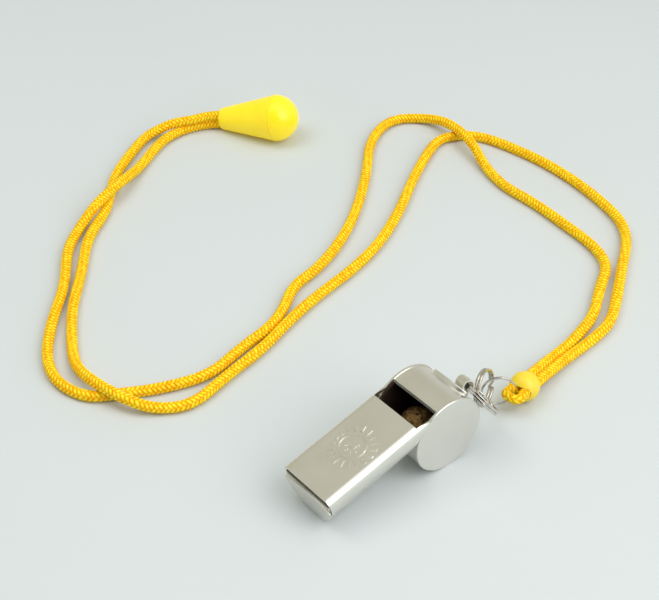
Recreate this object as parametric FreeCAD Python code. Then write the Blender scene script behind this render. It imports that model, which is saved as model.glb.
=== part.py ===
import FreeCAD, Part
import math
import os

# Pea whistle with an emblem on its mouthpiece, three split rings and a doubled braided lanyard cord
# with a bead and a bell-shaped pull. Millimetres. +Z is up, the floor is z = 0, and the whistle's
# tip points toward -X. The whistle is drawn level in its own frame, whose origin is the middle of
# its drum, and is then set down on its drum and its tip.

# Driving dimensions of the whistle
DRUM_R = 10.9            # outer radius of the two cheeks
TIP_X = -39.1            # front face of the mouthpiece, from the drum's axis
MOUTH_W = 18.2           # width of the mouthpiece
MOUTH_DEEP = 11.7        # height of the mouthpiece from its flat top to its keel
CORNER_R = 1.9           # radius of the mouthpiece's upper edges
SHEET = 0.7              # thickness of the pressed brass sheet
CHEEK_IN = 8.2           # inner face of each cheek, from the middle plane
CHEEK_OUT = 8.9          # outer face of each cheek
BAND_R = DRUM_R - 0.25   # outer radius of the band between the cheeks
LABIUM_X = -1.9          # edge that the air jet strikes
WINDOW_X = -8.5          # rear end of the windway, where the window begins
WALL_END_X = -4.6        # where the sloping tops of the side walls run out on the drum
TOP_FRONT_X = -38.6      # front edge of the mouthpiece's top
SLOT_H = 1.3             # height of the windway
FLOOR = 0.6              # thickness of the windway's floor
LIP_DROP = 1.9           # how far the lip falls from its middle to its ends
SEAM_Z = DRUM_R - 5.2    # joint between the mouthpiece's top and its underside
CHEEK_GAP = 0.12         # seam between the mouthpiece's walls and the cheeks
LABIUM_RELIEF = 3.0      # degrees by which the labium's bevel runs back round the band
EMBLEM_X = -23.0         # middle of the emblem
EMBLEM_H = 0.24
EMBLEM_SLOPE = 0.12      # how far its raised edges lean in
EMBLEM_RING_R = 3.9
EMBLEM_RING_W = 0.45
PAW_HEEL = [(0.45, 0, 1.05), (1.2, 0.7, 0.62), (1.2, -0.7, 0.62)]    # x, y and radius of its pads
PAW_TOES = [(-0.65, 1.7, 0.5), (-1.6, 0.65, 0.55), (-1.6, -0.65, 0.55), (-0.65, -1.7, 0.5)]
RAY_COUNT = 18           # raised bars that stand round the ring
RAY_NEAR = 4.7
RAY_FAR = 6.7
RAY_W = 0.9

# Where the drum's axis stands in the part's frame
DRUM_X = 5.4
DRUM_Y = 1.3

# Pea
PEA_R = 5.0
PEA_Y = 3.0
PEA_GAP = 0.1            # left between the pea and the band where it lies

# Lug, in the whistle as it lies: its angle is taken round the drum from the level backward direction
LUG_ANGLE = 40.4
EYE_HEIGHT = 2.07        # middle of the eye above the cheeks' radius
EYE_R = 1.4
EYE_WALL = 0.4
EYE_LONG = 3.8
EYE_Y = -3.6             # middle of the eye along the drum
EYE_SKEW = 18.0          # the eye is a little askew to the drum's axis
EYE_FOOT = 2.4           # width of the foot between the eye and its pad
PAD_H = 0.85             # height of the flat oval pad above the band, in its middle
PAD_HALF_Y = 6.2
PAD_HALF_ROUND = 2.9
PAD_EDGE_R = 0.25

# Split rings: middle from the drum's foot, axis, middle radius, wire width and thickness
RINGS = {
    "lug_ring": ((13.4, -5.5, 14.4), (0.777, -0.141, 0.614), 6.35, 0.8, 0.72),
    "middle_ring": ((19.9, -0.9, 10.4), (0.385, -0.909, 0.161), 4.95, 0.7, 0.74),
    "cord_ring": ((25.37, -1.18, 6.43), (0.603, 0.798, 0.002), 4.6, 0.5, 0.3),
}
RING_GAP = 0.05          # between the two turns of a ring
STEP_ANGLE = 9.0         # half the angle over which a ring steps from one turn to the other

# Cord and bead
CORD_D = 2.8
CORD_Z = 1.5             # middle of the cord where it lies on the floor
OVER_Z = 4.6             # middle of the cord where it passes over itself
BEAD_R = 4.2
BEAD_AT = (39.4, -1.3, 4.2)
BEAD_RUN = (0.962, 0.238, -0.134)   # the way the doubled cord leaves the bead
STRAND_HALF = 1.5        # half the distance between the doubled strands
BIGHT_HALF = 2.5         # the same where they turn round the cord ring
BIGHT_BACK = 7.25         # from the bead's middle back to the bight
FLARE_BACK = 3.0         # from the bead's middle back to where the strands part
STRAIGHT_ON = 15.0       # from the bead's middle on to where the strands bend
HOLE_LONG = 6.3          # oval holes for the doubled cord: width and height
HOLE_SHORT = 3.1

# Pull and knot
PULL_AT = (57.1, 161.7, 3.6)        # middle of the pull's narrow rim
PULL_RUN = (0.527, -0.825, 0.203)   # from the narrow rim to the rounded end
NECK_R = 3.55
PULL_R = 7.75
PULL_CONE = 19.8         # from the narrow rim to the widest place
PULL_WALL = 1.0
NECK_LONG = 7.0          # depth of the oval bore in the narrow end
CAP_WALL = 1.4
COLLAR_LONG = 1.5        # the cap's collar inside the bell
COLLAR_WALL = 0.8
FIT_GAP = 0.05
MOUTH_OUT = 3.0          # where the strands bend, outside the narrow rim
KNOT_FACE = 11.2         # where the strands enter the knot, from the narrow rim
KNOT_LONG = 5.8
KNOT_R = 3.3
KNOT_BACK_R = 1.3        # rounding of its hidden end

# Free stretch of each strand, from the bead to the pull
FREE_A = [
    (63, 2, CORD_Z), (73, 3, CORD_Z), (81, 5, CORD_Z), (91, 12, CORD_Z), (103, 21, CORD_Z),
    (114, 29, CORD_Z), (120, 37, CORD_Z), (123, 48, CORD_Z), (125, 62, CORD_Z),
    (125, 76, CORD_Z), (123, 89, CORD_Z), (120, 100, CORD_Z), (114, 106, CORD_Z),
    (107, 108, CORD_Z), (97, 103, CORD_Z), (84, 95, CORD_Z), (70, 85, CORD_Z),
    (54, 76, CORD_Z), (39, 71, CORD_Z), (23, 68, CORD_Z), (9, 64, CORD_Z), (-4, 59, CORD_Z),
    (-19, 56, CORD_Z), (-33, 52, CORD_Z), (-42, 57, CORD_Z), (-48, 63, OVER_Z),
    (-51, 76, OVER_Z), (-49, 87, CORD_Z), (-43, 98, CORD_Z), (-35, 110, CORD_Z),
    (-25, 121, CORD_Z), (-14, 135, CORD_Z), (-2, 143, CORD_Z), (5, 151, CORD_Z),
    (11, 158, CORD_Z), (21, 165, CORD_Z), (31, 171, CORD_Z), (37, 171, 2.6), (42, 169, 4.3),
    (48, 166, 4.5),
]
FREE_B = [
    (62, 5, CORD_Z), (70, 7, CORD_Z), (79, 10, CORD_Z), (90, 18, CORD_Z), (100, 24, CORD_Z),
    (104, 34, CORD_Z), (105, 47, CORD_Z), (106, 61, CORD_Z), (105, 74, CORD_Z),
    (108, 86, CORD_Z), (112, 97, OVER_Z), (114, 110, OVER_Z), (113, 121, CORD_Z),
    (103, 128, CORD_Z), (89, 122, CORD_Z), (76, 108, CORD_Z), (60, 94, CORD_Z),
    (45, 84, CORD_Z), (31, 78, CORD_Z), (20, 76, CORD_Z), (11, 69, CORD_Z), (3, 65, CORD_Z),
    (-9, 63, CORD_Z), (-22, 59, CORD_Z), (-36, 63, CORD_Z), (-47, 69, CORD_Z),
    (-54, 73, CORD_Z), (-57, 83, CORD_Z), (-54, 94, CORD_Z), (-44, 107, CORD_Z),
    (-32, 119, CORD_Z), (-22, 134, CORD_Z), (-13, 141, CORD_Z), (-4, 145, OVER_Z),
    (8, 150, OVER_Z), (20, 157, CORD_Z), (33, 165, CORD_Z), (40, 167, CORD_Z),
    (47, 167, CORD_Z),
]

TINY = 0.01
EDGE_R = 0.3             # softened edges of the cheeks


def vec(point):
    return FreeCAD.Vector(*point)


def unit(point):
    return vec(point).normalize()


def framed(shape, origin, along, side):
    """Puts a shape that was drawn at the origin along +X, with +Y to its side, where it belongs."""
    x = unit(along)
    z = x.cross(unit(side)).normalize()
    turn = FreeCAD.Rotation(x, z.cross(x), z, "XZY")
    shape.Placement = FreeCAD.Placement(vec(origin), turn) * shape.Placement
    return shape


def set_down(shape):
    """Tilts a level piece of the whistle about the drum's axis until its tip is on the floor."""
    low = DRUM_R - MOUTH_DEEP
    reach = math.hypot(low, TIP_X)
    tilt = math.asin(DRUM_R / reach) + math.atan2(low, -TIP_X)
    shape.rotate(vec((0, 0, 0)), vec((0, 1, 0)), -math.degrees(tilt))
    return on_floor(shape)


def on_floor(shape):
    """Moves a piece drawn about the drum's middle into the part's frame."""
    shape.translate(vec((DRUM_X, DRUM_Y, DRUM_R)))
    return shape


def barrel(radius, y_low, y_high):
    """A solid cylinder about the drum's axis."""
    return Part.makeCylinder(radius, y_high - y_low, vec((0, y_low, 0)), vec((0, 1, 0)))


def block(x_low, x_high, half_width, z_low, z_high):
    corner = vec((x_low, -half_width, z_low))
    return Part.makeBox(x_high - x_low, 2 * half_width, z_high - z_low, corner)


def prism_y(points, half_width):
    """A prism across the whistle, from its outline in x and z."""
    corners = [vec((x, -half_width, z)) for x, z in points]
    face = Part.Face(Part.makePolygon(corners + corners[:1]))
    return face.extrude(vec((0, 2 * half_width, 0)))


def d_bar(x_low, x_high, inset):
    """A bar with the mouthpiece's section: a flat top, rounded edges and an elliptical keel."""
    half = MOUTH_W / 2 - inset
    top = DRUM_R - inset
    corner = CORNER_R - inset
    spring = DRUM_R - CORNER_R
    keel = DRUM_R - MOUTH_DEEP + inset
    skew = corner * math.sqrt(0.5)

    def at(y, z):
        return vec((x_low, y, z))

    ellipse = Part.Ellipse(at(0, keel), at(half, spring), at(0, spring))
    edges = [
        Part.LineSegment(at(-half + corner, top), at(half - corner, top)),
        Part.Arc(at(half - corner, top), at(half - corner + skew, spring + skew), at(half, spring)),
        Part.ArcOfEllipse(ellipse, -math.pi / 2, math.pi / 2),
        Part.Arc(at(-half, spring), at(-half + corner - skew, spring + skew), at(-half + corner, top)),
    ]
    outline = Part.Wire(Part.__sortEdges__([edge.toShape() for edge in edges]))
    return Part.Face(outline).extrude(vec((x_high - x_low, 0, 0)))


def mouthpiece_shell():
    """The mouthpiece's skin, trimmed to the drum, with its top cut away behind the windway."""
    back = TIP_X + SHEET
    shell = d_bar(back, 0, 0).cut(d_bar(back - 1, 1, SHEET))
    drum = barrel(BAND_R, -CHEEK_IN, CHEEK_IN).fuse(barrel(DRUM_R + CHEEK_GAP, -MOUTH_W, MOUTH_W))
    shell = shell.cut(drum)
    above = DRUM_R + 1
    opening = block(WINDOW_X, 0, CHEEK_IN, 0, above)
    run_out = math.sqrt((DRUM_R + CHEEK_GAP) ** 2 - WALL_END_X ** 2)
    slope = prism_y([(WINDOW_X, DRUM_R), (WALL_END_X, run_out), (0, run_out), (0, above),
                     (WINDOW_X, above)], MOUTH_W)
    return shell.cut(opening.fuse(slope))


def emblem_pad(x, y, radius):
    """A round raised pad whose edge leans in."""
    return Part.makeCone(radius, radius - EMBLEM_SLOPE, EMBLEM_H + TINY,
                         vec((EMBLEM_X + x, y, DRUM_R - TINY)))


def emblem_ray(degrees):
    """A raised bar that points away from the emblem's middle."""
    half = RAY_W / 2
    bar = Part.makeWedge(RAY_NEAR, 0, -half, -half + EMBLEM_SLOPE, RAY_NEAR + EMBLEM_SLOPE,
                         RAY_FAR, EMBLEM_H + TINY, half, half - EMBLEM_SLOPE, RAY_FAR - EMBLEM_SLOPE)
    bar.rotate(vec((0, 0, 0)), vec((1, 0, 0)), 90)
    bar.rotate(vec((0, 0, 0)), vec((0, 0, 1)), degrees)
    bar.translate(vec((EMBLEM_X, 0, DRUM_R - TINY)))
    return bar


def emblem():
    """A raised paw print inside a ring, with short bars round it."""
    hole_r = EMBLEM_RING_R - EMBLEM_RING_W
    hole = Part.makeCone(hole_r, hole_r + EMBLEM_SLOPE, EMBLEM_H + TINY,
                         vec((EMBLEM_X, 0, DRUM_R - TINY)))
    ring = emblem_pad(0, 0, EMBLEM_RING_R).cut(hole)
    paw = [emblem_pad(*place) for place in PAW_HEEL + PAW_TOES]
    rays = [emblem_ray(360 * k / RAY_COUNT) for k in range(RAY_COUNT)]
    return ring.fuse(paw + rays)


def mouthpiece_top():
    shell = mouthpiece_shell().common(block(TIP_X - 1, 1, MOUTH_W, SEAM_Z, DRUM_R + 1))
    trimmed = shell.cut(block(TIP_X - 1, TOP_FRONT_X, MOUTH_W, SEAM_Z, DRUM_R + 1))
    return set_down(trimmed.fuse(emblem()))


def mouthpiece_underside():
    shell = mouthpiece_shell().common(block(TIP_X - 1, 1, MOUTH_W, -MOUTH_DEEP, SEAM_Z))
    return set_down(shell)


def windway_floor():
    """The plate under the air jet, bent down at the back to meet the band."""
    top = DRUM_R - SHEET - SLOT_H
    front = TIP_X + SHEET
    plate = block(front, WINDOW_X, MOUTH_W, top - FLOOR, top)
    flange = block(WINDOW_X - FLOOR, WINDOW_X, CHEEK_IN, 0, top)
    inside = d_bar(front, 0, SHEET + TINY)
    return set_down(plate.fuse(flange).common(inside).cut(barrel(BAND_R, -MOUTH_W, MOUTH_W)))


def tip_plate():
    """Closes the mouthpiece below the slot. Its outer layer is crowned, and its inner one is level."""
    top = DRUM_R - SHEET - SLOT_H
    half = MOUTH_W / 2
    crown = (half ** 2 + LIP_DROP ** 2) / (2 * LIP_DROP)
    middle = TIP_X + SHEET / 2
    disc = Part.makeCylinder(crown, SHEET / 2, vec((TIP_X, 0, top - crown)), vec((1, 0, 0)))
    outer = d_bar(TIP_X, middle, 0).common(disc)
    inner = d_bar(middle, TIP_X + SHEET, SHEET + TINY).common(
        block(TIP_X, 0, MOUTH_W, -MOUTH_DEEP, top))
    rim = d_bar(middle, TIP_X + SHEET, 0).common(block(TIP_X, 0, MOUTH_W, -MOUTH_DEEP, SEAM_Z))
    return set_down(outer.fuse([inner, rim]))


def polar(radius, degrees):
    angle = math.radians(degrees)
    return vec((radius * math.cos(angle), -CHEEK_IN, radius * math.sin(angle)))


def drum_band():
    """The band between the cheeks, from the labium back and round under to the windway's end."""
    inner = BAND_R - SHEET
    edge = math.degrees(math.acos(LABIUM_X / inner))
    relieved = edge - LABIUM_RELIEF
    end = math.degrees(math.acos(WINDOW_X / BAND_R)) - 360
    inner_end = math.degrees(math.acos(WINDOW_X / inner)) - 360
    outside = Part.Arc(polar(BAND_R, end), polar(BAND_R, -90), polar(BAND_R, relieved))
    inside = Part.Arc(polar(inner, inner_end), polar(inner, -90), polar(inner, edge))
    labium = Part.LineSegment(polar(BAND_R, relieved), polar(inner, edge))
    front = Part.LineSegment(polar(inner, inner_end), polar(BAND_R, end))
    outline = Part.Wire(Part.__sortEdges__(
        [edge_line.toShape() for edge_line in (outside, labium, inside, front)]))
    return set_down(Part.Face(outline).extrude(vec((0, 2 * CHEEK_IN, 0))))


def cheek(side):
    """A pressed disc with a softened rim and a locating step that enters the band."""
    disc = barrel(DRUM_R, CHEEK_IN, CHEEK_OUT)
    rims = [e for e in disc.Edges if e.Length > 2 * DRUM_R and e.BoundBox.YMin > CHEEK_OUT - TINY]
    disc = disc.makeFillet(EDGE_R, rims)
    step = barrel(BAND_R - SHEET - FIT_GAP, CHEEK_IN - SHEET / 2, CHEEK_IN)
    step = step.cut(barrel(BAND_R - 2 * SHEET, 0, CHEEK_IN))
    piece = disc.fuse(step)
    if side < 0:
        piece = piece.mirror(vec((0, 0, 0)), vec((0, 1, 0)))
    return set_down(piece)


def lug_pad():
    """A flat-topped oval pad, drawn on the side of the drum that faces +X."""
    oval = Part.Ellipse(vec((0, 0, 0)), PAD_HALF_Y, PAD_HALF_ROUND).toShape()
    pad = Part.Face(Part.Wire(oval)).extrude(vec((0, 0, BAND_R + PAD_H)))
    rim = [e for e in pad.Edges if e.BoundBox.ZMin > BAND_R]
    return framed(pad.makeFillet(PAD_EDGE_R, rim), (0, 0, 0), (0, 1, 0), (0, 0, 1))


def lanyard_lug():
    """The pad on the band, with a rolled eye on a short foot."""
    height = DRUM_R + EYE_HEIGHT
    low = EYE_Y - EYE_LONG / 2
    across = vec((0, 1, 0))
    outside = Part.makeCylinder(EYE_R + EYE_WALL, EYE_LONG, vec((height, low, 0)), across)
    bore = Part.makeCylinder(EYE_R, 3 * EYE_LONG, vec((height, low - EYE_LONG, 0)), across)
    foot = Part.makeBox(height - BAND_R - TINY, EYE_LONG, EYE_FOOT,
                        vec((BAND_R + TINY, low, -EYE_FOOT / 2)))
    skew = (vec((height, EYE_Y, 0)), vec((1, 0, 0)), -EYE_SKEW)
    eye = outside.fuse(foot)
    eye.rotate(*skew)
    bore.rotate(*skew)
    lug = lug_pad().fuse(eye).cut([bore, barrel(BAND_R, -DRUM_R, DRUM_R)])
    lug.rotate(vec((0, 0, 0)), vec((0, 1, 0)), -LUG_ANGLE)
    return on_floor(lug)


def cork_pea():
    down = BAND_R - SHEET - PEA_R - PEA_GAP
    return on_floor(Part.makeSphere(PEA_R, vec((0, PEA_Y, -down))))


def wire_section(radius, width, thick, level, degrees):
    """The rounded section of a ring's wire, at an angle round the ring and a level along its axis."""
    soft = min(width, thick) / 4
    box = Part.makeBox(width, thick, thick, vec((radius - width / 2, 0, level - thick / 2)))
    face = [f for f in box.Faces if abs(f.CenterOfMass.y) < TINY][0]
    corners = [v.Point for v in face.OuterWire.OrderedVertexes]
    edges = []
    for i, corner in enumerate(corners):
        before = (corners[i - 1] - corner).normalize()
        after = (corners[(i + 1) % 4] - corner).normalize()
        middle = corner + (before + after) * soft * (1 - math.sqrt(0.5))
        edges.append(Part.Arc(corner + before * soft, middle, corner + after * soft).toShape())
        following = corners[(i + 1) % 4]
        edges.append(Part.LineSegment(corner + after * soft, following - after * soft).toShape())
    outline = Part.Wire(edges)
    outline.rotate(vec((0, 0, 0)), vec((0, 0, 1)), degrees)
    return outline


def split_ring(middle, axis, radius, width, thick):
    """Two flat turns joined by a short step, with the wire's two ends left free beside it."""
    level = (thick + RING_GAP) / 2
    lower = Part.Face(wire_section(radius, width, thick, -level, STEP_ANGLE))
    upper = Part.Face(wire_section(radius, width, thick, level, STEP_ANGLE))
    around = (vec((0, 0, 0)), vec((0, 0, 1)), 360 - 2 * STEP_ANGLE)
    step = Part.makeLoft([wire_section(radius, width, thick, -level, -STEP_ANGLE),
                          wire_section(radius, width, thick, 0, 0),
                          wire_section(radius, width, thick, level, STEP_ANGLE)], True, False)
    ring = lower.revolve(*around).fuse([step, upper.revolve(*around)])
    turn = FreeCAD.Rotation(vec((0, 0, 1)), vec(axis))
    ring.Placement = FreeCAD.Placement(vec(middle) + vec((DRUM_X, DRUM_Y, 0)), turn)
    return ring


def oval_bar(origin, along, side, start, end):
    """The oval hole for the doubled cord, long across and short the other way."""
    straight = (HOLE_LONG - HOLE_SHORT) / 2
    middle = Part.makeBox(end - start, 2 * straight, HOLE_SHORT,
                          vec((start, -straight, -HOLE_SHORT / 2)))
    ends = [Part.makeCylinder(HOLE_SHORT / 2, end - start, vec((start, y, 0)), vec((1, 0, 0)))
            for y in (-straight, straight)]
    return framed(middle.fuse(ends), origin, along, side)


def bead_side():
    """Across the bead, level: from strand A to strand B."""
    return vec((0, 0, 1)).cross(unit(BEAD_RUN)).normalize()


def pull_side():
    """Across the pull, upward: from strand B to strand A."""
    run = unit(PULL_RUN)
    up = vec((0, 0, 1))
    return (up - run * up.dot(run)).normalize()


def bead():
    ball = Part.makeSphere(BEAD_R, vec(BEAD_AT))
    return ball.cut(oval_bar(BEAD_AT, BEAD_RUN, bead_side(), -2 * BEAD_R, 2 * BEAD_R))


def strand_route(free, side):
    """All points of a strand: round the cord ring, through the bead, free, and into the knot."""
    run = unit(BEAD_RUN)
    across = bead_side() * side
    bight = vec(BEAD_AT) - run * BIGHT_BACK
    inward = unit(PULL_RUN)
    lift = pull_side() * -side * STRAND_HALF
    return ([
        bight,
        bight + across * BIGHT_HALF,
        vec(BEAD_AT) - run * FLARE_BACK + across * STRAND_HALF,
        vec(BEAD_AT) + run * STRAIGHT_ON + across * STRAND_HALF,
    ] + [vec(point) for point in free] + [
        vec(PULL_AT) - inward * MOUTH_OUT + lift,
        vec(PULL_AT) + inward * KNOT_FACE + lift,
    ])


def tube(name, points):
    """A round cord along straight runs and tangent arcs."""
    runs = [(b - a).Length for a, b in zip(points, points[1:])]
    runs[0] *= 2  # the first run is half of the way across the bight
    edges = []
    radii = []
    at = points[0]
    for i in range(1, len(points) - 1):
        before = (points[i] - points[i - 1]).normalize()
        after = (points[i + 1] - points[i]).normalize()
        half_turn = before.getAngle(after) / 2
        reach = 0.45 * min(runs[i - 1], runs[i])
        radius = reach / math.tan(half_turn)
        start = points[i] - before * reach
        end = points[i] + after * reach
        bow = radius * (1 / math.cos(half_turn) - 1)
        middle = points[i] + (after - before).normalize() * bow
        edges += [Part.LineSegment(at, start).toShape(), Part.Arc(start, middle, end).toShape()]
        radii.append(radius)
        at = end
    edges.append(Part.LineSegment(at, points[-1]).toShape())
    path = Part.Wire(edges)
    section = Part.Wire(Part.Circle(points[0], points[1] - points[0], CORD_D / 2).toShape())
    solid = Part.Solid(path.makePipeShell([section], True, False))
    whole = math.pi * CORD_D ** 2 / 4 * path.Length
    print(name, "length", round(path.Length, 1), "volume ratio", round(solid.Volume / whole, 5),
          "smallest radii", [round(r, 1) for r in sorted(radii)[:6]])
    return solid


def end_knot():
    """The knot that ties the two ends inside the pull."""
    body = Part.makeCylinder(KNOT_R, KNOT_LONG, vec((0, 0, 0)), vec((1, 0, 0)))
    back = [e for e in body.Edges if e.BoundBox.XMin > KNOT_LONG - TINY]
    front = [e for e in body.Edges if e.BoundBox.XMax < TINY]
    body = body.makeFillet(KNOT_BACK_R, back).makeFillet(EDGE_R, front)
    face = vec(PULL_AT) + unit(PULL_RUN) * KNOT_FACE
    return framed(body, face, PULL_RUN, pull_side())


def turned(points):
    """A solid of revolution about +X from its outline in x and radius."""
    corners = [vec((x, r, 0)) for x, r in points]
    face = Part.Face(Part.makePolygon(corners + corners[:1]))
    return face.revolve(vec((0, 0, 0)), vec((1, 0, 0)), 360)


def cone_radius(x):
    return NECK_R + (PULL_R - NECK_R) * x / PULL_CONE


def pull_bell():
    """A cone with an oval bore in its narrow end, hollow behind it for the knot."""
    inner_start = cone_radius(NECK_LONG) - PULL_WALL
    solid = turned([(0, 0), (0, NECK_R - EDGE_R), (EDGE_R, cone_radius(EDGE_R)),
                    (PULL_CONE, PULL_R), (PULL_CONE, PULL_R - PULL_WALL),
                    (NECK_LONG, inner_start), (NECK_LONG, 0)])
    bell = framed(solid, PULL_AT, PULL_RUN, pull_side())
    return bell.cut(oval_bar(PULL_AT, PULL_RUN, pull_side(), -1, NECK_LONG + 1))


def pull_cap():
    """A hollow half ball whose collar enters the bell."""
    centre = vec((PULL_CONE, 0, 0))
    ball = Part.makeSphere(PULL_R, centre).cut(Part.makeSphere(PULL_R - CAP_WALL, centre))
    dome = ball.common(Part.makeBox(2 * PULL_R, 4 * PULL_R, 4 * PULL_R,
                                    vec((PULL_CONE, -2 * PULL_R, -2 * PULL_R))))
    outside = cone_radius(PULL_CONE - COLLAR_LONG) - PULL_WALL - FIT_GAP
    inside = outside - COLLAR_WALL
    low = PULL_CONE - COLLAR_LONG
    high = PULL_CONE + COLLAR_WALL
    collar = turned([(low, inside), (low, outside), (high, outside), (high, inside)])
    return framed(dome.fuse(collar), PULL_AT, PULL_RUN, pull_side())


def main():
    os.makedirs("parts", exist_ok=True)
    nodes = {
        "mouthpiece_top": mouthpiece_top(),
        "mouthpiece_underside": mouthpiece_underside(),
        "windway_floor": windway_floor(),
        "tip_plate": tip_plate(),
        "drum_band": drum_band(),
        "left_cheek": cheek(1),
        "right_cheek": cheek(-1),
        "lanyard_lug": lanyard_lug(),
        "cork_pea": cork_pea(),
        "bead": bead(),
        "cord_strand_a": tube("cord_strand_a", strand_route(FREE_A, -1)),
        "cord_strand_b": tube("cord_strand_b", strand_route(FREE_B, 1)),
        "end_knot": end_knot(),
        "pull_bell": pull_bell(),
        "pull_cap": pull_cap(),
    }
    for name, (middle, axis, radius, width, thick) in RINGS.items():
        nodes[name] = split_ring(middle, axis, radius, width, thick)
    for name, shape in nodes.items():
        box = shape.BoundBox
        print(name, shape.isValid(), len(shape.Solids), round(shape.Volume, 2),
              [round(v, 2) for v in (box.XMin, box.XMax, box.YMin, box.YMax, box.ZMin, box.ZMax)])
        shape.exportStep("parts/" + name + ".step")


main()
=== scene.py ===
import math

import bpy
import numpy as np
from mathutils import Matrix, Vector, noise

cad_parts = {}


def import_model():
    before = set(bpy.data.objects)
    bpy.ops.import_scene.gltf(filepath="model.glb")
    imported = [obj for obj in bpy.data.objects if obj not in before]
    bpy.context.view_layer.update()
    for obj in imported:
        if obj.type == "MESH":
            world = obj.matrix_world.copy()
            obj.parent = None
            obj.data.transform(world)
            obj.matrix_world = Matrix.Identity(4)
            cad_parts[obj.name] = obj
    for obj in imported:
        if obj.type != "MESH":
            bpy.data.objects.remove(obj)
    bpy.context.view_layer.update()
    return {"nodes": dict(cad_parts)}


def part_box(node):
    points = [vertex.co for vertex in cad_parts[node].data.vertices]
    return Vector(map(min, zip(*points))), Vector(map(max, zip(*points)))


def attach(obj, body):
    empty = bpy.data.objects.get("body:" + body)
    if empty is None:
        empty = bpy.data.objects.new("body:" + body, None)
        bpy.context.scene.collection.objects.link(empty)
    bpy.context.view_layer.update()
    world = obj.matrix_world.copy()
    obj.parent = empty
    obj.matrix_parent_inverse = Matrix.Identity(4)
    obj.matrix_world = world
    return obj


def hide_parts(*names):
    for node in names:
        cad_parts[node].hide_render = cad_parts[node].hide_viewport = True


# Looks of a pea whistle with split rings and a doubled braided lanyard, in the CAD frame. Blender's
# unit is the metre: a size that isn't multiplied by MM is in millimetres until it is placed.

MM = 0.001

# Camera
CAMERA_AT = (-208.5 * MM, -220.7 * MM, 293.8 * MM)
CAMERA_AZIMUTH = -39.27
CAMERA_ELEVATION = 38.47
SENSOR = 36.0
LENS = 87.6

# Light tent: linear colours seen in each direction
TENT_COLOUR = (0.68, 0.70, 0.68)
TENT_WARM = (0.118, 0.606, 0.787)
TENT_WARM_COLOUR = (0.54, 0.535, 0.435)
TENT_BRIGHT = (0.08, -0.25, 0.96)
TENT_BRIGHT_COLOUR = (1.45, 1.47, 1.45)
TENT_OPENING = (-0.496, -0.606, 0.622)
TENT_DARK_COLOUR = (0.06, 0.05, 0.06)

# Floor and lights, in metres and watts
FLOOR_HALF = 2.5
LIT_MIDDLE = (0.03, 0.06, 0)
KEY_AT = (-0.25, 0.35, 0.75)
KEY_SIZE = (0.45, 0.45)
KEY_POWER = 1.7
FRONT_AT = (0.14, -0.45, 0.46)
FRONT_SIZE = (0.6, 0.6)
FRONT_POWER = 2.6

# Split rings: middle from the drum's foot, axis, middle radius, wire width and thickness
DRUM_FOOT = (5.4, 1.3, 0)
RINGS = {
    "lug_ring": ((13.4, -5.5, 14.4), (0.777, -0.141, 0.614), 6.35, 0.8, 0.72),
    "middle_ring": ((19.9, -0.9, 10.4), (0.385, -0.909, 0.161), 4.95, 0.7, 0.74),
    "cord_ring": ((25.37, -1.18, 6.43), (0.603, 0.798, 0.002), 4.6, 0.5, 0.3),
}
RING_GAP = 0.05
STEP_ANGLE = 9.0

# Cord
CORD_D = 2.8 * MM
CORD_Z = 1.5             # millimetres, like the route's points
OVER_Z = 4.6
BEAD_R = 4.2
BEAD_AT = (39.4, -1.3, 4.2)
BEAD_RUN = (0.962, 0.238, -0.134)
STRAND_HALF = 1.5
BIGHT_HALF = 2.5
BIGHT_BACK = 7.25
FLARE_BACK = 3.0
STRAIGHT_ON = 15.0
HOLE_LONG = 6.3
HOLE_SHORT = 3.1
PULL_AT = (57.1, 161.7, 3.6)
PULL_RUN = (0.527, -0.825, 0.203)
NECK_R = 3.55
PULL_R = 7.75
PULL_CONE = 19.8
PULL_WALL = 1.0
NECK_LONG = 7.0
CAP_WALL = 1.4
MOUTH_OUT = 3.0
KNOT_FACE = 11.2
KNOT_LONG = 5.8

# Free stretch of each strand, from the bead to the pull, in millimetres, as in the CAD model
FREE_A = [
    (63, 2, CORD_Z), (73, 3, CORD_Z), (81, 5, CORD_Z), (91, 12, CORD_Z), (103, 21, CORD_Z),
    (114, 29, CORD_Z), (120, 37, CORD_Z), (123, 48, CORD_Z), (125, 62, CORD_Z),
    (125, 76, CORD_Z), (123, 89, CORD_Z), (120, 100, CORD_Z), (114, 106, CORD_Z),
    (107, 108, CORD_Z), (97, 103, CORD_Z), (84, 95, CORD_Z), (70, 85, CORD_Z),
    (54, 76, CORD_Z), (39, 71, CORD_Z), (23, 68, CORD_Z), (9, 64, CORD_Z), (-4, 59, CORD_Z),
    (-19, 56, CORD_Z), (-33, 52, CORD_Z), (-42, 57, CORD_Z), (-48, 63, OVER_Z),
    (-51, 76, OVER_Z), (-49, 87, CORD_Z), (-43, 98, CORD_Z), (-35, 110, CORD_Z),
    (-25, 121, CORD_Z), (-14, 135, CORD_Z), (-2, 143, CORD_Z), (5, 151, CORD_Z),
    (11, 158, CORD_Z), (21, 165, CORD_Z), (31, 171, CORD_Z), (37, 171, 2.6), (42, 169, 4.3),
    (48, 166, 4.5),
]
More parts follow.
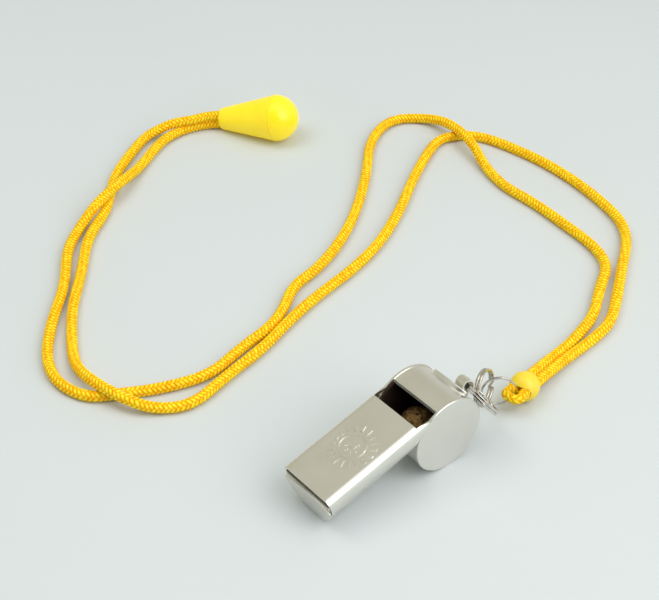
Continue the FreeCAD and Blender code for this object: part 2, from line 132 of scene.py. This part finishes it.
FREE_B = [
    (62, 5, CORD_Z), (70, 7, CORD_Z), (79, 10, CORD_Z), (90, 18, CORD_Z), (100, 24, CORD_Z),
    (104, 34, CORD_Z), (105, 47, CORD_Z), (106, 61, CORD_Z), (105, 74, CORD_Z),
    (108, 86, CORD_Z), (112, 97, OVER_Z), (114, 110, OVER_Z), (113, 121, CORD_Z),
    (103, 128, CORD_Z), (89, 122, CORD_Z), (76, 108, CORD_Z), (60, 94, CORD_Z),
    (45, 84, CORD_Z), (31, 78, CORD_Z), (20, 76, CORD_Z), (11, 69, CORD_Z), (3, 65, CORD_Z),
    (-9, 63, CORD_Z), (-22, 59, CORD_Z), (-36, 63, CORD_Z), (-47, 69, CORD_Z),
    (-54, 73, CORD_Z), (-57, 83, CORD_Z), (-54, 94, CORD_Z), (-44, 107, CORD_Z),
    (-32, 119, CORD_Z), (-22, 134, CORD_Z), (-13, 141, CORD_Z), (-4, 145, OVER_Z),
    (8, 150, OVER_Z), (20, 157, CORD_Z), (33, 165, CORD_Z), (40, 167, CORD_Z),
    (47, 167, CORD_Z),
]

# Whistle's chamber, in millimetres
DRUM_MIDDLE = (5.4, 1.3, 10.9)
CHAMBER_R = 10.0
CHAMBER_HALF = 8.3

# Pea
PIT_DEPTH = 0.16 * MM
PEA_INSET = 0.02 * MM    # keeps the visible ball inside the CAD one

# Braid: yarns laid each way, each passing over two and under two
YARNS = 6
LAY = 7.6 * MM           # one turn of a yarn along the cord
RELIEF_LIFT = 0.10 * MM
RELIEF_BULGE = 0.24 * MM
SQUEEZE = 0.84           # how far the cord is pressed together round the cord ring
SQUEEZED_TO = 2.5 * MM
SQUEEZED_OVER = 3.0 * MM
TWIST = 0.5              # how many turns the whole braid wanders to either side
TWIST_LONG = 45 * MM
SWELL = 0.03 * MM        # how far the cord's thickness wanders
SWELL_LONG = 14 * MM
FLOOR_GAP = 0.02 * MM
YARN_ROUND = 2.2         # how round the yarns look, against how far they rise over each other
# painted shade and highlight: dark orange in the valleys between yarns, pale yellow sheen on their crowns
YARN_SHADE_TO_SHEEN = [(0.0, (0.58, 0.12, 0.0)), (0.42, (0.86, 0.31, 0.0)), (0.7, (0.98, 0.50, 0.001)),
                (0.95, (1.0, 0.86, 0.03))]
AROUND = 40
ALONG = 0.225 * MM


# ---------------------------------------------------------------- small helpers

def unit(v):
    return np.array(v, float) / np.linalg.norm(v)


def mesh_object(name, points, faces, smooth=True):
    mesh = bpy.data.meshes.new(name)
    mesh.from_pydata([tuple(p) for p in points], [], [tuple(f) for f in faces])
    mesh.update()
    mesh.validate()
    if smooth:
        mesh.shade_smooth()
    piece = bpy.data.objects.new(name, mesh)
    bpy.context.scene.collection.objects.link(piece)
    return piece


def grid_faces(rows, columns, closed_rows=False):
    """Quads of a grid whose columns close on themselves."""
    faces = []
    for r in range(rows if closed_rows else rows - 1):
        below = r * columns
        above = ((r + 1) % rows) * columns
        for c in range(columns):
            d = (c + 1) % columns
            faces.append((below + c, below + d, above + d, above + c))
    return faces


def tube_faces(rows, columns):
    """Quads of a tube, and one face over each of its ends."""
    last = (rows - 1) * columns
    ends = [tuple(range(columns))[::-1], tuple(range(last, last + columns))]
    return grid_faces(rows, columns) + ends


# ---------------------------------------------------------------- materials

def material(name, colour, roughness, metallic=0.0):
    m = bpy.data.materials.new(name)
    m.use_nodes = True
    shader = m.node_tree.nodes["Principled BSDF"]
    shader.inputs["Base Color"].default_value = (*colour, 1)
    shader.inputs["Roughness"].default_value = roughness
    shader.inputs["Metallic"].default_value = metallic
    return m, m.node_tree, shader


def node(tree, kind, **values):
    n = tree.nodes.new(kind)
    for key, value in values.items():
        if key in n.inputs:
            n.inputs[key].default_value = value
        else:
            setattr(n, key, value)
    return n


def object_coordinates(tree):
    return node(tree, "ShaderNodeTexCoord").outputs["Object"]


def noise_at(tree, where, scale, detail=4.0, rough=0.5):
    n = node(tree, "ShaderNodeTexNoise")
    n.inputs["Scale"].default_value = scale
    n.inputs["Detail"].default_value = detail
    n.inputs["Roughness"].default_value = rough
    tree.links.new(where, n.inputs["Vector"])
    return n.outputs["Fac"]


def ramp(tree, value, stops):
    n = node(tree, "ShaderNodeValToRGB")
    band = n.color_ramp
    while len(band.elements) < len(stops):
        band.elements.new(0.5)
    for element, (at, colour) in zip(band.elements, stops):
        element.position = at
        element.color = (*colour, 1)
    tree.links.new(value, n.inputs["Fac"])
    return n.outputs["Color"]


def spread(tree, value, low, high):
    n = node(tree, "ShaderNodeMapRange")
    n.inputs["To Min"].default_value = low
    n.inputs["To Max"].default_value = high
    tree.links.new(value, n.inputs["Value"])
    return n.outputs["Result"]


def calculate(tree, operation, *values):
    """A math node whose inputs are numbers or other nodes' outputs."""
    n = node(tree, "ShaderNodeMath", operation=operation)
    for socket, value in zip(n.inputs, values):
        if isinstance(value, (int, float)):
            socket.default_value = value
        else:
            tree.links.new(value, socket)
    return n.outputs[0]


def bump(tree, shader, height, distance, strength=1.0):
    n = node(tree, "ShaderNodeBump")
    n.inputs["Strength"].default_value = strength
    n.inputs["Distance"].default_value = distance
    tree.links.new(height, n.inputs["Height"])
    tree.links.new(n.outputs["Normal"], shader.inputs["Normal"])


def satin_nickel():
    """Satin plating, dull inside the drum's chamber, where painted shade makes it near black."""
    m, tree, shader = material("satin_nickel", (0.80, 0.78, 0.72), 0.26, 1.0)
    where = object_coordinates(tree)
    cloud = noise_at(tree, where, 90)
    from_axis = node(tree, "ShaderNodeMapping")
    from_axis.inputs["Location"].default_value = [-v * MM for v in DRUM_MIDDLE]
    tree.links.new(where, from_axis.inputs["Vector"])
    parts = node(tree, "ShaderNodeSeparateXYZ")
    tree.links.new(from_axis.outputs["Vector"], parts.inputs[0])
    x, y, z = parts.outputs
    radius = calculate(tree, "SQRT", calculate(tree, "ADD", calculate(tree, "MULTIPLY", x, x),
                                               calculate(tree, "MULTIPLY", z, z)))
    inside = calculate(tree, "MULTIPLY", calculate(tree, "LESS_THAN", radius, CHAMBER_R * MM),
                       calculate(tree, "LESS_THAN", calculate(tree, "ABSOLUTE", y), CHAMBER_HALF * MM))
    plated = ramp(tree, cloud, [(0.3, (0.78, 0.76, 0.69)), (0.7, (0.83, 0.815, 0.76))])
    colour = node(tree, "ShaderNodeMix", data_type="RGBA")
    tree.links.new(inside, colour.inputs[0])
    tree.links.new(plated, colour.inputs[6])
    # painted shade: the inside of the chamber gets a near-black colour
    colour.inputs[7].default_value = (0.09, 0.06, 0.045, 1)
    tree.links.new(colour.outputs[2], shader.inputs["Base Color"])
    dullness = calculate(tree, "MULTIPLY_ADD", inside, 0.35, spread(tree, cloud, 0.27, 0.37))
    tree.links.new(dullness, shader.inputs["Roughness"])
    return m


def ring_nickel():
    m, tree, shader = material("ring_nickel", (0.62, 0.60, 0.55), 0.12, 1.0)
    where = object_coordinates(tree)
    wear = noise_at(tree, where, 700)
    tree.links.new(spread(tree, wear, 0.08, 0.2), shader.inputs["Roughness"])
    tree.links.new(ramp(tree, wear, [(0.3, (0.50, 0.47, 0.41)), (0.65, (0.72, 0.70, 0.66))]),
                   shader.inputs["Base Color"])
    return m


def cork():
    m, tree, shader = material("cork", (0.30, 0.15, 0.045), 0.85)
    where = object_coordinates(tree)
    cells = node(tree, "ShaderNodeTexVoronoi")
    cells.inputs["Scale"].default_value = 1100
    tree.links.new(where, cells.inputs["Vector"])
    mixed = noise_at(tree, where, 1500)
    tone = node(tree, "ShaderNodeMix", data_type="FLOAT")
    tone.inputs[0].default_value = 0.5
    tree.links.new(cells.outputs["Color"], tone.inputs[2])
    tree.links.new(mixed, tone.inputs[3])
    tree.links.new(ramp(tree, tone.outputs[0], [(0.25, (0.08, 0.04, 0.012)), (0.5, (0.44, 0.25, 0.075)),
                                                (0.8, (0.68, 0.44, 0.17))]),
                   shader.inputs["Base Color"])
    bump(tree, shader, cells.outputs["Distance"], 0.25 * MM, 0.7)
    return m


def yarn_height(tree, place, other, sign):
    """Height of one family of yarns, as in braid_relief, from where a point lies across both."""
    across = calculate(tree, "MULTIPLY_ADD", calculate(tree, "FRACT", place), 2.0, -1.0)
    bulge = calculate(tree, "SQRT", calculate(tree, "SUBTRACT", 1.0,
                                              calculate(tree, "MULTIPLY", across, across)))
    turned = calculate(tree, "ADD", other, calculate(tree, "FLOOR", place))
    wave = calculate(tree, "COSINE", calculate(tree, "MULTIPLY_ADD", turned, math.pi / 2, -math.pi / 2))
    return calculate(tree, "MULTIPLY_ADD", bulge, YARN_ROUND, calculate(tree, "MULTIPLY", wave, sign))


def cord_yarn():
    m, tree, shader = material("cord_yarn", (0.92, 0.50, 0.01), 0.5)
    parts = node(tree, "ShaderNodeSeparateXYZ")
    tree.links.new(node(tree, "ShaderNodeUVMap", uv_map="braid").outputs["UV"], parts.inputs[0])
    turn, along = parts.outputs[0], parts.outputs[1]
    one_way = calculate(tree, "MULTIPLY", calculate(tree, "ADD", turn, along), YARNS)
    other_way = calculate(tree, "MULTIPLY", calculate(tree, "SUBTRACT", turn, along), YARNS)
    height = calculate(tree, "MAXIMUM", yarn_height(tree, one_way, other_way, 1.0),
                       yarn_height(tree, other_way, one_way, -1.0))
    crown = calculate(tree, "DIVIDE", height, 1 + YARN_ROUND)
    crossing = node(tree, "ShaderNodeCombineXYZ")
    tree.links.new(calculate(tree, "FLOOR", one_way), crossing.inputs[0])
    tree.links.new(calculate(tree, "FLOOR", other_way), crossing.inputs[1])
    glint = node(tree, "ShaderNodeTexWhiteNoise", noise_dimensions="2D")
    tree.links.new(crossing.outputs[0], glint.inputs["Vector"])
    where = object_coordinates(tree)
    fuzz = noise_at(tree, where, 2500)
    # painted highlight: random crossings made brighter as glints, plus fine fibre fuzz
    glints_and_fuzz = calculate(tree, "MULTIPLY_ADD", glint.outputs["Value"], 0.22,
                       calculate(tree, "MULTIPLY_ADD", fuzz, 0.16, -0.19))
    shade = calculate(tree, "ADD", crown, glints_and_fuzz)
    # painted shade low between the yarns and painted sheen high on their crowns
    base = ramp(tree, shade, YARN_SHADE_TO_SHEEN)
    worn = node(tree, "ShaderNodeMix", data_type="RGBA", blend_type="MULTIPLY")
    worn.inputs[0].default_value = 1.0
    tree.links.new(base, worn.inputs[6])
    tree.links.new(ramp(tree, noise_at(tree, where, 120), [(0.3, (0.97, 0.90, 0.8)), (0.7, (1, 1, 1))]),
                   worn.inputs[7])
    tree.links.new(worn.outputs[2], shader.inputs["Base Color"])
    shader.inputs["Specular IOR Level"].default_value = 0.12
    bump(tree, shader, shade, 0.16 * MM, 0.8)
    return m


def bead_plastic():
    m, tree, shader = material("bead_plastic", (0.90, 0.70, 0.05), 0.4)
    where = object_coordinates(tree)
    mottle = noise_at(tree, where, 260)
    tree.links.new(ramp(tree, mottle, [(0.3, (0.90, 0.66, 0.03)), (0.7, (0.95, 0.72, 0.05))]),
                   shader.inputs["Base Color"])
    tree.links.new(spread(tree, mottle, 0.3, 0.44), shader.inputs["Roughness"])
    bump(tree, shader, noise_at(tree, where, 1800), 0.01 * MM)
    return m


def pull_plastic():
    m, tree, shader = material("pull_plastic", (1.0, 0.80, 0.01), 0.28)
    where = object_coordinates(tree)
    flow = noise_at(tree, where, 130)
    tree.links.new(ramp(tree, flow, [(0.3, (1.0, 0.78, 0.01)), (0.7, (1.0, 0.83, 0.015))]),
                   shader.inputs["Base Color"])
    tree.links.new(spread(tree, flow, 0.22, 0.34), shader.inputs["Roughness"])
    shader.inputs["Emission Color"].default_value = (1.0, 0.62, 0.0, 1)
    shader.inputs["Emission Strength"].default_value = 0.16   # painted glow: the pull gives off light of its own to look brighter and flatter
    return m


def paper():
    m, tree, shader = material("pale_paper", (0.62, 0.661, 0.67), 0.9)
    where = object_coordinates(tree)
    cloud = noise_at(tree, where, 12)
    tree.links.new(ramp(tree, cloud, [(0.3, (0.616, 0.657, 0.666)), (0.7, (0.624, 0.665, 0.674))]),
                   shader.inputs["Base Color"])
    shader.inputs["Specular IOR Level"].default_value = 0.1
    return m


def dress(piece, finish):
    piece.data.materials.clear()
    piece.data.materials.append(finish)


# ---------------------------------------------------------------- stage

def camera():
    data = bpy.data.cameras.new("camera")
    data.sensor_width = SENSOR
    data.lens = LENS
    data.clip_start = 0.01
    seen = bpy.data.objects.new("camera", data)
    seen.location = CAMERA_AT
    seen.rotation_euler = (math.radians(90 - CAMERA_ELEVATION), 0, math.radians(CAMERA_AZIMUTH))
    bpy.context.scene.collection.objects.link(seen)
    bpy.context.scene.camera = seen


def area_light(name, at, towards, size, power, mirrored=True):
    data = bpy.data.lights.new(name, "AREA")
    data.shape = "RECTANGLE"
    data.size, data.size_y = size
    data.energy = power
    lamp = bpy.data.objects.new(name, data)
    lamp.location = at
    lamp.rotation_euler = (Vector(towards) - Vector(at)).to_track_quat("-Z", "Y").to_euler()
    lamp.visible_glossy = mirrored
    bpy.context.scene.collection.objects.link(lamp)


def tent():
    """A pale light tent with a warmer far side and a dark opening."""
    world = bpy.data.worlds.new("tent")
    world.use_nodes = True
    tree = world.node_tree
    way = node(tree, "ShaderNodeTexCoord").outputs["Generated"]
    colour = None
    for towards, near, far, inner in ((TENT_WARM, 0.45, 0.85, TENT_WARM_COLOUR),
                                      (TENT_BRIGHT, 0.78, 0.92, TENT_BRIGHT_COLOUR),
                                      (TENT_OPENING, 0.80, 0.90, TENT_DARK_COLOUR)):
        facing = node(tree, "ShaderNodeVectorMath", operation="DOT_PRODUCT")
        tree.links.new(way, facing.inputs[0])
        facing.inputs[1].default_value = tuple(unit(towards))
        share = node(tree, "ShaderNodeMapRange", interpolation_type="SMOOTHSTEP")
        share.inputs["From Min"].default_value = near
        share.inputs["From Max"].default_value = far
        tree.links.new(facing.outputs["Value"], share.inputs["Value"])
        mix = node(tree, "ShaderNodeMix", data_type="RGBA")
        tree.links.new(share.outputs["Result"], mix.inputs[0])
        if colour is None:
            mix.inputs[6].default_value = (*TENT_COLOUR, 1)
        else:
            tree.links.new(colour, mix.inputs[6])
        mix.inputs[7].default_value = (*inner, 1)
        colour = mix.outputs[2]
    tree.links.new(colour, tree.nodes["Background"].inputs["Color"])
    bpy.context.scene.world = world


def studio():
    half = FLOOR_HALF
    corners = [(-half, -half, 0), (half, -half, 0), (half, half, 0), (-half, half, 0)]
    floor = mesh_object("floor", corners, [(0, 1, 2, 3)], smooth=False)
    dress(floor, paper())
    tent()
    area_light("key", KEY_AT, LIT_MIDDLE, KEY_SIZE, KEY_POWER, mirrored=False)
    area_light("front", FRONT_AT, LIT_MIDDLE, FRONT_SIZE, FRONT_POWER)
    bpy.context.scene.view_settings.view_transform = "Standard"


# ---------------------------------------------------------------- cord

def bead_side():
    return unit(np.cross((0, 0, 1), unit(BEAD_RUN)))


def pull_side():
    run = unit(PULL_RUN)
    up = np.array((0.0, 0.0, 1.0))
    return unit(up - run * run[2])


def strand_route(free, side):
    """All points of a strand: round the cord ring, through the bead, free, and into the knot."""
    run = unit(BEAD_RUN)
    bead = np.array(BEAD_AT)
    across = bead_side() * side
    bight = bead - run * BIGHT_BACK
    pull = np.array(PULL_AT)
    inward = unit(PULL_RUN)
    lift = pull_side() * -side * STRAND_HALF
    points = [bight, bight + across * BIGHT_HALF, bead - run * FLARE_BACK + across * STRAND_HALF,
              bead + run * STRAIGHT_ON + across * STRAND_HALF]
    points += [np.array(p, float) for p in free]
    points += [pull - inward * MOUTH_OUT + lift, pull + inward * KNOT_FACE + lift]
    return np.array(points) * MM


def spline_points(name, route):
    """Points of the smooth line whose control points are the route."""
    curve = bpy.data.curves.new(name + "_line", "CURVE")
    curve.dimensions = "3D"
    curve.resolution_u = 24
    line = curve.splines.new("NURBS")
    line.points.add(len(route) - 1)
    for point, at in zip(line.points, route):
        point.co = (*at, 1)
    line.order_u = 3
    line.use_endpoint_u = True
    holder = bpy.data.objects.new(name + "_line", curve)
    bpy.context.scene.collection.objects.link(holder)
    bpy.context.view_layer.update()
    mesh = bpy.data.meshes.new_from_object(holder.evaluated_get(bpy.context.evaluated_depsgraph_get()))
    points = np.array([v.co for v in mesh.vertices], float)
    bpy.data.objects.remove(holder)
    return points


def evenly(points, step):
    lengths = np.r_[0, np.cumsum(np.linalg.norm(np.diff(points, axis=0), axis=1))]
    at = np.linspace(0, lengths[-1], int(round(lengths[-1] / step)) + 1)
    return np.stack([np.interp(at, lengths, points[:, k]) for k in range(3)], 1), at


def frames_along(points):
    """Tangents and two normals that turn as little as they can along a line."""
    tangents = np.gradient(points, axis=0)
    tangents /= np.linalg.norm(tangents, axis=1)[:, None]
    normal = unit(np.cross(tangents[0], (0, 0, 1)))
    first = []
    for tangent in tangents:
        normal = unit(normal - tangent * normal.dot(tangent))
        first.append(normal)
    first = np.array(first)
    return tangents, first, np.cross(tangents, first)


def braid_relief(turn, along):
    """Height of a braid of flat yarns over its core, with each yarn over two and under two."""
    one_way = YARNS * (turn + along)
    other_way = YARNS * (turn - along)

    def bulge(place):
        return np.sqrt(np.clip(1 - (2 * (place % 1) - 1) ** 2, 0, 1))

    lift_one = np.cos((other_way + np.floor(one_way) - 1) * math.pi / 2)
    lift_other = -np.cos((one_way + np.floor(other_way) - 1) * math.pi / 2)
    high_one = RELIEF_LIFT * lift_one + RELIEF_BULGE * bulge(one_way)
    high_other = RELIEF_LIFT * lift_other + RELIEF_BULGE * bulge(other_way)
    return np.maximum(high_one, high_other)


def unwrap(piece, turn, along):
    """Stores each corner's place round and along the cord, without a jump at the seam."""
    mesh = piece.data
    corners = np.empty(len(mesh.loops), int)
    mesh.loops.foreach_get("vertex_index", corners)
    places = turn.ravel()[corners]
    starts = np.empty(len(mesh.polygons), int)
    mesh.polygons.foreach_get("loop_start", starts)
    counts = np.empty(len(mesh.polygons), int)
    mesh.polygons.foreach_get("loop_total", counts)
    highest = np.repeat(np.maximum.reduceat(places, starts), counts)
    places = np.where(highest - places > 0.5, places + 1, places)
    layer = mesh.uv_layers.new(name="braid")
    layer.data.foreach_set("uv", np.stack([places, along[corners // AROUND]], 1).astype(np.float32).ravel())


def braided(name, route, finish):
    """A strand of braided cord along a route."""
    line, at = evenly(spline_points(name, route), ALONG)
    tangents, side, up = frames_along(line)
    turn = (np.arange(AROUND) / AROUND)[None, :] + (np.arange(len(line)) % 2)[:, None] * 0.5 / AROUND
    height = braid_relief(turn, at[:, None] / LAY)
    swell = np.array([noise.noise(Vector((s / SWELL_LONG, 3.0, len(name)))) for s in at])
    slack = np.clip((at - SQUEEZED_TO) / SQUEEZED_OVER, 0, 1)
    squeeze = SQUEEZE + (1 - SQUEEZE) * slack * slack * (3 - 2 * slack)
    radius = CORD_D / 2 - RELIEF_LIFT + height + SWELL * swell[:, None]
    radius = radius * squeeze[:, None]
    twist = np.array([noise.noise(Vector((s / TWIST_LONG, 7.0, len(name)))) for s in at])
    angle = (turn + TWIST * twist[:, None]) * 2 * math.pi
    points = (line[:, None, :] + radius[..., None] * (np.cos(angle)[..., None] * side[:, None, :]
                                                      + np.sin(angle)[..., None] * up[:, None, :]))
    points[..., 2] = np.maximum(points[..., 2], FLOOR_GAP)
    piece = mesh_object(name + "_braid", points.reshape(-1, 3), tube_faces(len(line), AROUND))
    unwrap(piece, turn, at / LAY)
    dress(piece, finish)
    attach(piece, "whistle")
    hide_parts(name)
    return piece, line, at[-1]


# ---------------------------------------------------------------- bead, pull, knot and pea

def oval_radius(angle, long_side, short_side):
    """Radius of an oval with straight sides and round ends, in a direction round its middle."""
    half = short_side / 2
    shift = (long_side - short_side) / 2
    c, s = abs(math.cos(angle)), abs(math.sin(angle))
    if c * half <= s * shift:
        return half / s
    return shift * c + math.sqrt(max(half ** 2 - (shift * s) ** 2, 0))


def placed(points, origin, along, side):
    """Points drawn along +X with +Y to the side, put where they belong, from millimetres."""
    x = unit(along)
    z = unit(np.cross(x, unit(side)))
    y = np.cross(z, x)
    return (np.array(origin) + np.array(points) @ np.array([x, y, z])) * MM


def lathe(name, profile, origin, along, side, columns=96, hole_rows=0):
    """A closed ring of sections: profile gives x and radius round the axis, and the first hole_rows
    of its points lie on the oval hole, where radius is added to the hole's own."""
    points = []
    for i, (x, r) in enumerate(profile):
        for c in range(columns):
            a = 2 * math.pi * c / columns
            reach = r + (oval_radius(a, HOLE_LONG, HOLE_SHORT) if i < hole_rows else 0)
            points.append((x, reach * math.cos(a), reach * math.sin(a)))
    faces = grid_faces(len(profile), columns, closed_rows=True)
    return mesh_object(name, placed(points, origin, along, side), [f[::-1] for f in faces])


def arc(cx, cy, radius, start, end, count):
    return [(cx + radius * math.cos(math.radians(start + (end - start) * k / count)),
             cy + radius * math.sin(math.radians(start + (end - start) * k / count)))
            for k in range(count + 1)]


def bead(finish):
    """A round bead whose oval hole has softened edges."""
    columns, rows = 96, 40
    soft = 0.35
    points = []
    axis_rows = []
    for c in range(columns):
        a = 2 * math.pi * c / columns
        hole = oval_radius(a, HOLE_LONG, HOLE_SHORT)
        edge = math.sqrt(BEAD_R ** 2 - (hole + soft) ** 2)
        lean = math.atan2(hole + soft, edge)
        section = [(x, hole) for x in np.linspace(-edge + soft, edge - soft, 7)]
        section += [(edge - soft * 0.35, hole + soft * 0.25)]
        for k in range(rows + 1):
            polar = lean + (math.pi - 2 * lean) * k / rows
            section.append((BEAD_R * math.cos(polar), BEAD_R * math.sin(polar)))
        section += [(-edge + soft * 0.35, hole + soft * 0.25)]
        axis_rows.append([(x, r * math.cos(a), r * math.sin(a)) for x, r in section])
    count = len(axis_rows[0])
    for r in range(count):
        points += [axis_rows[c][r] for c in range(columns)]
    faces = [f[::-1] for f in grid_faces(count, columns, closed_rows=True)]
    piece = mesh_object("bead_body", placed(points, BEAD_AT, BEAD_RUN, bead_side()), faces)
    dress(piece, finish)
    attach(piece, "bead")
    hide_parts("bead")
    return piece


def cone_radius(x):
    return NECK_R + (PULL_R - NECK_R) * x / PULL_CONE


def pull(finish):
    """The bell and its cap, with a rounded rim and a fine crease where they meet."""
    rim = 0.5
    lip = 0.18
    wide = cone_radius(PULL_CONE)
    mouth = [(x, 0.0) for x in np.linspace(NECK_LONG, rim, 6)] + [(0.12, 0.08), (0, 0.3)]
    outside = [(0, NECK_R - rim), (0.14, NECK_R - 0.14), (rim, cone_radius(rim))]
    outside += [(x, cone_radius(x)) for x in np.linspace(2, PULL_CONE - 2 * lip, 14)]
    outside += [(PULL_CONE - lip, wide - 0.03), (PULL_CONE - 0.02, wide - lip)]
    inside = [(PULL_CONE - 0.02, wide - PULL_WALL), (NECK_LONG, cone_radius(NECK_LONG) - PULL_WALL)]
    profile = mouth + outside + inside
    bell = lathe("pull_bell_shell", profile, PULL_AT, PULL_RUN, pull_side(), hole_rows=len(mouth))
    dome = [(PULL_CONE + 0.02, PULL_R - CAP_WALL), (PULL_CONE + 0.02, PULL_R - lip)]
    dome += arc(PULL_CONE, 0, PULL_R, 89, 1, 30)
    dome += arc(PULL_CONE, 0, PULL_R - CAP_WALL, 1, 88, 16)
    cap = lathe("pull_cap_shell", dome, PULL_AT, PULL_RUN, pull_side())
    for piece, name in ((bell, "pull_bell"), (cap, "pull_cap")):
        dress(piece, finish)
        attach(piece, "pull")
        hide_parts(name)
    return [bell, cap]


def knot(finish):
    """The two ends tied round each other, inside the pull."""
    turns, steps = 2.2, 120
    wind = 1.85
    thick = 1.35
    margin = 1.45
    line = []
    for k in range(steps + 1):
        a = 2 * math.pi * turns * k / steps
        x = margin + (KNOT_LONG - 2 * margin) * k / steps
        line.append((KNOT_FACE + x, wind * math.cos(a), wind * math.sin(a)))
    centre = placed(line, PULL_AT, PULL_RUN, pull_side())
    tangents, side, up = frames_along(centre)
    columns = 24
    angle = 2 * math.pi * np.arange(columns) / columns
    points = (centre[:, None, :] + thick * MM * (np.cos(angle)[None, :, None] * side[:, None, :]
                                                 + np.sin(angle)[None, :, None] * up[:, None, :]))
    piece = mesh_object("end_knot_wound", points.reshape(-1, 3), tube_faces(len(line), columns))
    dress(piece, finish)
    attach(piece, "whistle")
    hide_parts("end_knot")
    return piece


def wire_outline(width, thick):
    """Rounded section of a ring's wire: offsets outward and along the axis."""
    soft = min(width, thick) / 4
    corner_points = 4
    outline = []
    for x, y, start in ((1, 1, 0), (-1, 1, 90), (-1, -1, 180), (1, -1, 270)):
        outline += arc(x * (width / 2 - soft), y * (thick / 2 - soft), soft, start, start + 90,
                       corner_points)
    return outline


def split_ring(name, finish):
    """Two flat turns of wire joined by a short step."""
    middle, axis, radius, width, thick = RINGS[name]
    level = (thick + RING_GAP) / 2
    outline = wire_outline(width, thick)
    steps = 480
    points = []
    for k in range(steps + 1):
        a = STEP_ANGLE + (720 - 2 * STEP_ANGLE) * k / steps
        stepped = min(max((a - 360 + STEP_ANGLE) / (2 * STEP_ANGLE), 0), 1)
        z = level * (2 * stepped * stepped * (3 - 2 * stepped) - 1)
        outward = Vector((math.cos(math.radians(a)), math.sin(math.radians(a)), 0))
        for out, up in outline:
            points.append(outward * (radius + out) + Vector((0, 0, z + up)))
    turn = Vector((0, 0, 1)).rotation_difference(Vector(axis))
    centre = Vector(middle) + Vector(DRUM_FOOT)
    faces = [f[::-1] for f in tube_faces(steps + 1, len(outline))]
    piece = mesh_object(name + "_wire", [(centre + turn @ p) * MM for p in points], faces)
    dress(piece, finish)
    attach(piece, name)
    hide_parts(name)


def pea(finish):
    """A ball of cork with pits between its granules."""
    low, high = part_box("cork_pea")
    centre = (low + high) / 2
    radius = (high.x - low.x) / 2
    rows, columns = 90, 120
    points = []
    for r in range(rows):
        polar = math.pi * (r + 0.5) / rows
        for c in range(columns):
            a = 2 * math.pi * c / columns
            way = Vector((math.sin(polar) * math.cos(a), math.sin(polar) * math.sin(a), math.cos(polar)))
            pit = noise.noise(way * 6.0) * 0.5 + noise.noise(way * 14.0) * 0.5
            depth = PIT_DEPTH * max(0.0, pit + 0.15)
            points.append(centre + way * (radius - PEA_INSET - depth))
    faces = [f[::-1] for f in tube_faces(rows, columns)]
    piece = mesh_object("cork_pea_ball", points, faces)
    dress(piece, finish)
    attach(piece, "pea")
    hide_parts("cork_pea")


# ---------------------------------------------------------------- the scene

def main():
    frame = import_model()
    camera()
    yarn = cord_yarn()
    for name, free, side in (("cord_strand_a", FREE_A, -1), ("cord_strand_b", FREE_B, 1)):
        braided(name, strand_route(free, side), yarn)
    bead_piece = bead(bead_plastic())
    pull_pieces = pull(pull_plastic())
    knot_piece = knot(yarn)
    pea(cork())
    whistle_metal = satin_nickel()
    ring_metal = ring_nickel()
    for name in RINGS:
        split_ring(name, ring_metal)
    for cad in frame["nodes"].values():
        if not cad.hide_render:
            dress(cad, whistle_metal)
    studio()


main()
